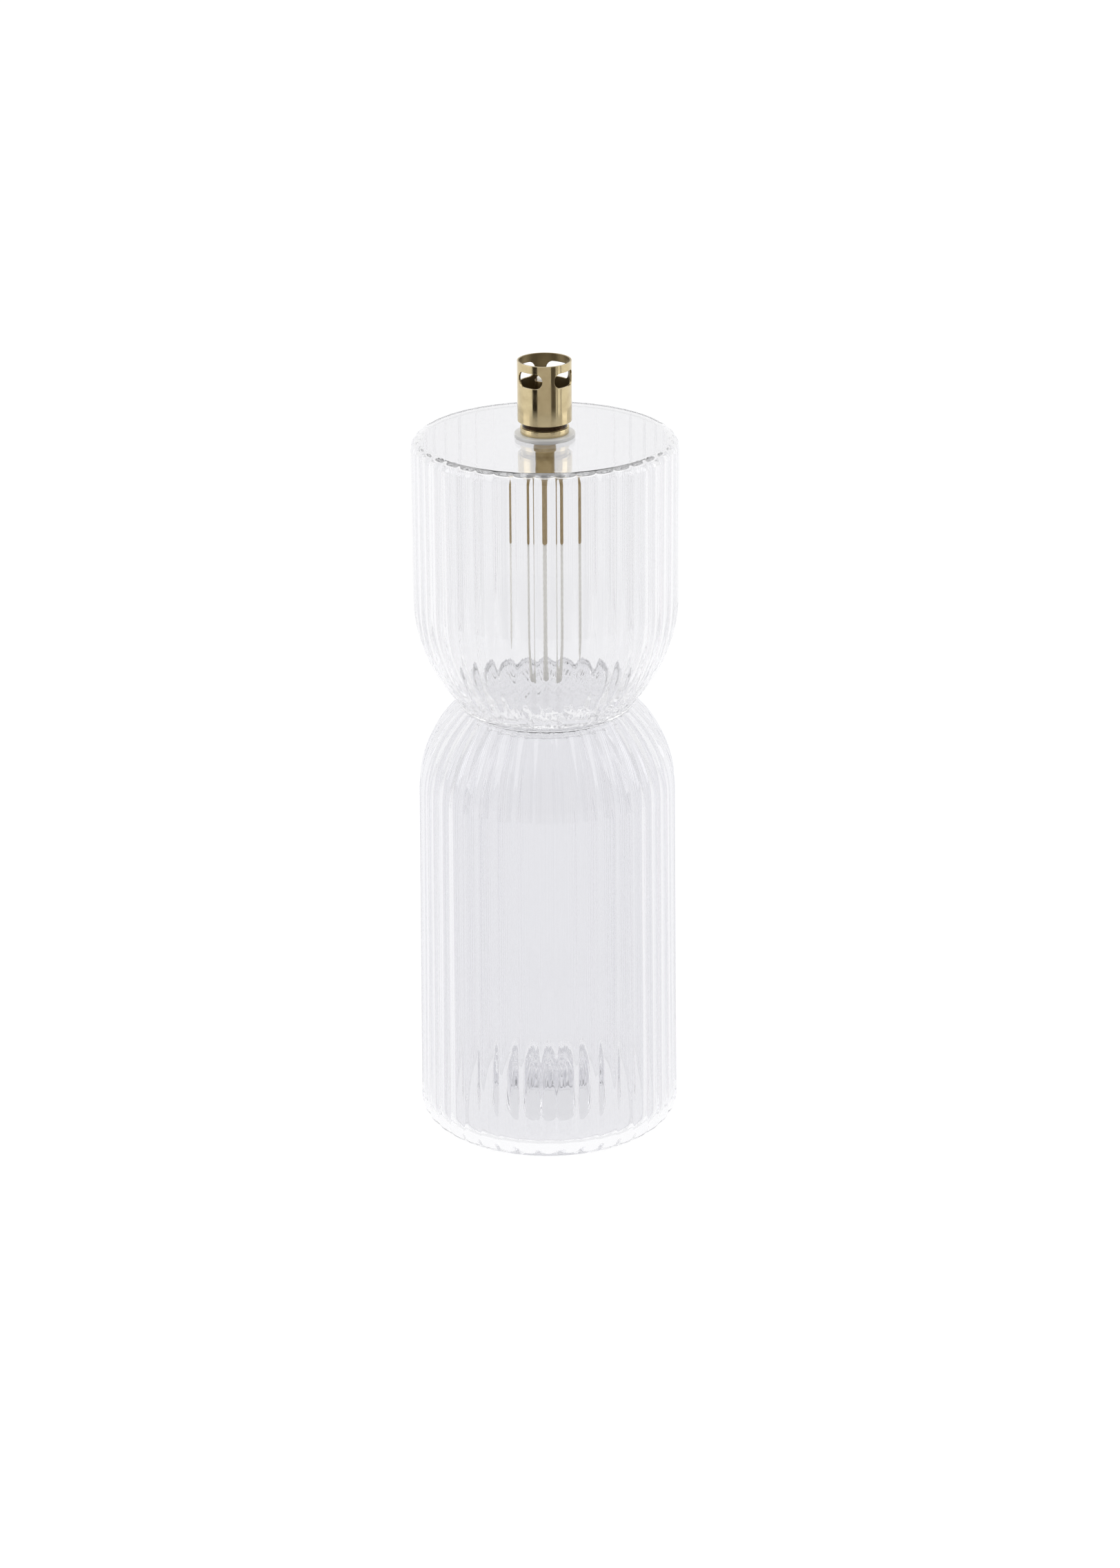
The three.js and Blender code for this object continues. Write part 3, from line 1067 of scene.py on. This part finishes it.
@dataclass
class Cap:
    """The brass cap: a drawn tube with long air holes below its rim, and a seat ring inside."""

    wall: float = 0.7
    edge: float = 0.16
    hole_count: int = 4
    hole_post: float = 3.1
    hole_height: float = 5.15
    hole_drop: float = 2.65
    hole_turn: float = -126.5
    margin: float = 1.2
    side_points: int = 14
    end_points: int = 22
    rings: int = 9
    skirt_rows: int = 26
    ledge: float = 0.8
    ledge_reach: float = 2.0

    def __post_init__(self) -> None:
        """Reads the cap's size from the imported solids."""
        self.radius, self.bottom, self.rim = span("burner_cap")

    def window(self) -> tuple[np.ndarray, np.ndarray]:
        """Outlines of one air hole and of the panel round it, unrolled as (along, up) in mm.

        Returns:
            The hole's and the panel's points, which match one to one, counter-clockwise.
        """
        pitch = 2 * np.pi * self.radius / self.hole_count
        low = self.rim - self.hole_drop - self.hole_height - self.margin
        x = np.linspace(-pitch / 2, pitch / 2, self.end_points + 1)[:-1]
        y = np.linspace(low, self.rim, self.side_points + 1)[:-1]
        panel = np.vstack([
            np.column_stack([x, np.full(len(x), low)]),
            np.column_stack([np.full(len(y), pitch / 2), y]),
            np.column_stack([-x, np.full(len(x), self.rim)]),
            np.column_stack([np.full(len(y), -pitch / 2), self.rim + low - y]),
        ])
        half = self.hole_height / 2
        centre = np.array([0, self.rim - self.hole_drop - half])
        chord = 2 * self.radius * math.sin(math.pi / self.hole_count) - self.hole_post
        straight = self.radius * math.asin(chord / 2 / self.radius) - half
        # Each of the panel's points looks at the middle: its line of sight leaves the hole, a bar
        # with round ends, either through a straight side or through an end's circle.
        sight = (panel - centre) / np.linalg.norm(panel - centre, axis=1)[:, None]
        to_side = half / np.maximum(np.abs(sight[:, 1]), 1e-6)
        along = straight * np.abs(sight[:, 0])
        to_end = along + np.sqrt(along ** 2 + half ** 2 - straight ** 2)
        through_side = to_side * np.abs(sight[:, 0]) <= straight
        return centre + sight * np.where(through_side, to_side, to_end)[:, None], panel

    def sheet(self) -> bpy.types.Object:
        """The tube's outer skin with its holes, before it gets its wall.

        Each panel is blended from the hole's outline to the panel's, hole + w (panel - hole), and
        rolled up: (x, z) goes to (R cos(x / R), R sin(x / R), z).

        Returns:
            The open sheet.
        """
        hole, panel = self.window()
        w = np.linspace(0, 1, self.rings + 1)[:, None, None] ** 1.3
        loops = hole + w * (panel - hole)
        pitch = 2 * np.pi / self.hole_count
        low = panel[:, 1].min()
        around = self.end_points * self.hole_count
        start = math.radians(self.hole_turn)
        points, faces, offset = [], [], 0
        ring, place = len(hole), np.arange(self.rings)[:, None]
        at, after = np.arange(ring)[None, :], (np.arange(ring)[None, :] + 1) % ring
        for i in range(self.hole_count):
            turn = loops[..., 0] / self.radius + start + i * pitch
            points.append(np.stack([turn, loops[..., 1]], -1).reshape(-1, 2))
            faces.append(offset + np.stack([
                (place + 1) * ring + at,
                (place + 1) * ring + after,
                place * ring + after,
                place * ring + at,
            ], -1).reshape(-1, 4))
            offset += len(points[-1])
        columns = np.arange(around) * 2 * np.pi / around + start - pitch / 2
        rows = np.linspace(self.bottom, low, self.skirt_rows + 1)
        points.append(np.stack(np.meshgrid(columns, rows), -1).reshape(-1, 2))
        row, column = np.arange(self.skirt_rows)[:, None], np.arange(around)[None, :]
        turned = (column + 1) % around
        faces.append(offset + np.stack([
            row * around + column,
            row * around + turned,
            (row + 1) * around + turned,
            (row + 1) * around + column,
        ], -1).reshape(-1, 4))
        flat = np.vstack(points)
        rolled = np.column_stack([
            self.radius * np.cos(flat[:, 0]), self.radius * np.sin(flat[:, 0]), flat[:, 1],
        ]) * MM
        mesh = bpy.data.meshes.new("cap")
        mesh.from_pydata(rolled, [], np.vstack(faces))
        mesh.polygons.foreach_set("use_smooth", np.ones(len(mesh.polygons), bool))
        thing = bpy.data.objects.new("cap", mesh)
        bpy.context.scene.collection.objects.link(thing)
        return thing

    def build(self) -> bpy.types.Object:
        """Makes the cap: the sheet, welded, given its wall and softened edges.

        Returns:
            The cap.
        """
        cap = self.sheet()
        weld = cap.modifiers.new("weld", "WELD")
        weld.merge_threshold = 0.01 * MM
        wall = cap.modifiers.new("wall", "SOLIDIFY")
        wall.thickness, wall.offset, wall.use_even_offset = self.wall * MM, -1, True
        soft = cap.modifiers.new("soft_edges", "BEVEL")
        soft.width, soft.segments, soft.limit_method = self.edge * MM, 3, "ANGLE"
        soft.angle_limit, soft.harden_normals = math.radians(50), True
        # The cap's inside is rougher, and its darker tint is painted shade.
        finish = replace(BRASS, name="polished_brass_dull_and_shaded_inside", bore=self.radius - self.wall / 2)
        return dress(cap, finish.build(), "brass", "cap", "burner_cap")

    def seat(self, level: float) -> bpy.types.Object:
        """Makes the ring inside the cap that rests on the burner's spigot.

        Args:
            level: height of the spigot's upper face, in mm.

        Returns:
            The ring.
        """
        outer, inner = self.radius - self.wall, self.radius - self.wall - self.ledge_reach
        top = level + self.ledge
        ring = turned_ring("cap_seat", [(inner, level), (outer, level), (outer, top), (inner, top)], 0.15)
        return dress(ring, BRASS.build(), "brass", "cap")


@dataclass
class Burner:
    """The drop-in burner: gasket, turned base, wick tube and cap."""

    groove_depth: float = 0.7
    flange_height: float = 2.1
    groove_height: float = 1.9
    spigot_gap: float = 0.9
    neck_wall: float = 0.5
    press_gap: float = 0.1
    tube_wall: float = 0.4
    gasket_lip: float = 7.25
    face_gap: float = 0.05
    cap: Cap = field(default_factory=Cap)

    def __post_init__(self) -> None:
        """Reads the burner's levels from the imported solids."""
        self.gasket_radius, self.gasket_bottom, self.flange = span("sealing_gasket")
        self.flange_radius, self.neck_bottom, self.ledge = span("burner_base")
        self.tube_radius, self.tube_bottom, self.tube_top = span("wick_tube")
        _, _, self.seat = span("glass_bowl")

    def gasket(self) -> bpy.types.Object:
        """Makes the clear gasket: a flat flange with a lip that fits the hole.

        Returns:
            The gasket.
        """
        bore = self.tube_radius + 2 * self.press_gap + self.neck_wall
        ring = turned_ring("gasket", [
            (bore, self.gasket_bottom),
            (self.gasket_lip, self.gasket_bottom),
            (self.gasket_lip, self.seat + self.face_gap),
            (self.gasket_radius, self.seat + self.face_gap),
            (self.gasket_radius, self.flange - self.face_gap),
            (bore, self.flange - self.face_gap),
        ], 0.35)
        return dress(ring, SILICONE.build(), "silicone", "burner", "sealing_gasket")

    def neck(self) -> bpy.types.Object:
        """Makes the neck under the base, which goes down through the gasket and stays unpolished.

        Returns:
            The neck.
        """
        bore = self.tube_radius + self.press_gap
        outer = bore + self.neck_wall
        ring = turned_ring("neck", [
            (bore, self.neck_bottom),
            (outer, self.neck_bottom),
            (outer, self.flange),
            (bore, self.flange),
        ], 0.12, 96)
        return dress(ring, TUBE_BRASS.build(), "brass", "burner")

    def base(self) -> bpy.types.Object:
        """Makes the turned base: flange, groove and spigot.

        Returns:
            The base.
        """
        bore = self.tube_radius + self.press_gap
        spigot = self.cap.radius - self.spigot_gap
        groove = spigot - self.groove_depth
        flange_top = self.flange + self.flange_height
        groove_top = flange_top + self.groove_height
        ring = turned_ring("base", [
            (bore, self.flange),
            (self.flange_radius, self.flange),
            (self.flange_radius, flange_top),
            (groove, flange_top),
            (groove, groove_top),
            (spigot, groove_top),
            (spigot, self.ledge),
            (bore, self.ledge),
        ], 0.22)
        # The groove between flange and spigot gets a dark brown as painted shade.
        finish = replace(BRASS, name="polished_brass_with_painted_groove_shade", groove_shade_band=(flange_top, groove_top))
        return dress(ring, finish.build(), "brass", "burner", "burner_base")

    def tube(self) -> bpy.types.Object:
        """Makes the wick tube.

        Returns:
            The tube.
        """
        inner = self.tube_radius - self.tube_wall
        ring = turned_ring("tube", [
            (inner, self.tube_bottom),
            (self.tube_radius, self.tube_bottom),
            (self.tube_radius, self.tube_top),
            (inner, self.tube_top),
        ], 0.12, 96)
        return dress(ring, TUBE_BRASS.build(), "brass", "burner", "wick_tube")

    def build(self) -> None:
        """Makes every piece of the burner."""
        pieces = (
            self.gasket(),
            self.base(),
            self.neck(),
            self.tube(),
            self.cap.build(),
            self.cap.seat(self.ledge),
        )
        for piece in pieces:
            log.info("%s: %d faces", piece.name, len(piece.data.polygons))


# ------------------------------------------------------------------ wick


@dataclass
class Wick:
    """A round braid of glass-fibre yarn, in its tube and hanging free below it."""

    strands: int = 8
    lay: float = 9.0
    relief: float = 0.22
    columns: int = 64
    row_step: float = 0.3
    flare: float = 0.06
    flare_length: float = 7.0

    def braid(self, radii: np.ndarray, heights: np.ndarray) -> np.ndarray:
        """Rings of a braided cord: r = radius - relief * (1 - the higher of two crossed helical waves).

        Args:
            radii: outer radius at each ring, in mm.
            heights: height of each ring, in mm.

        Returns:
            Points in metres, shaped (rings, columns, 3).
        """
        turn = np.linspace(0, 2 * np.pi, self.columns, endpoint=False)[None, :]
        z, r = heights[:, None], radii[:, None]
        along = 2 * np.pi * z / self.lay
        left = np.cos(self.strands / 2 * (turn + along))
        right = np.cos(self.strands / 2 * (turn - along))
        crest = np.maximum(left, right)
        relief = np.minimum(self.relief, 0.5 * r)
        return revolved(r - relief * (1 - crest) / 2, z, turn[0])

    def head(self) -> bpy.types.Object:
        """Makes the wick in its tube, with its domed tip.

        Returns:
            The head of the wick.
        """
        radius, bottom, top = span("wick_head")
        z = np.arange(bottom, top - 1, self.row_step)
        dome = arc(0, top - 1, radius, 1.0, 0, 90, 6)
        base = [(0.0, bottom)]
        outline = np.vstack([base, np.column_stack([np.full(len(z), radius), z]), dome[1:]])
        piece = surface("wick_head_braid", self.braid(outline[:, 0], outline[:, 1]), Ends.POLES)
        return dress(piece, FIBRE.build(), "glass_fibre", "wick", "wick_head")

    def tail(self) -> bpy.types.Object:
        """Makes the free length of wick, a little flared at its cut end.

        Returns:
            The tail of the wick.
        """
        radius, bottom, top = span("wick_tail")
        z = np.arange(top, bottom, -self.row_step)[::-1]
        swell = 1 + self.flare * smoothstep((bottom + self.flare_length - z) / self.flare_length)
        outline = np.vstack([[(0, bottom)], np.column_stack([radius * swell, z]), [(0, top)]])
        piece = surface("wick_tail_braid", self.braid(outline[:, 0], outline[:, 1]), Ends.POLES)
        dress(piece, FIBRE.build(), "glass_fibre", "wick", "wick_tail")
        return piece

    def build(self) -> None:
        """Makes both lengths of the wick."""
        for piece in (self.tail(), self.head()):
            log.info("%s: %d faces", piece.name, len(piece.data.polygons))


# ------------------------------------------------------------------ scene


def main() -> None:
    """Builds the camera, the cord and then every other piece."""
    logging.basicConfig(level=logging.INFO, format="%(name)s %(message)s")
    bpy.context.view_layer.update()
    studio = Studio()
    studio.camera()
    Wick().build()
    Glass().build()
    Burner().build()
    studio.build()


if __name__ == "__main__":
    main()
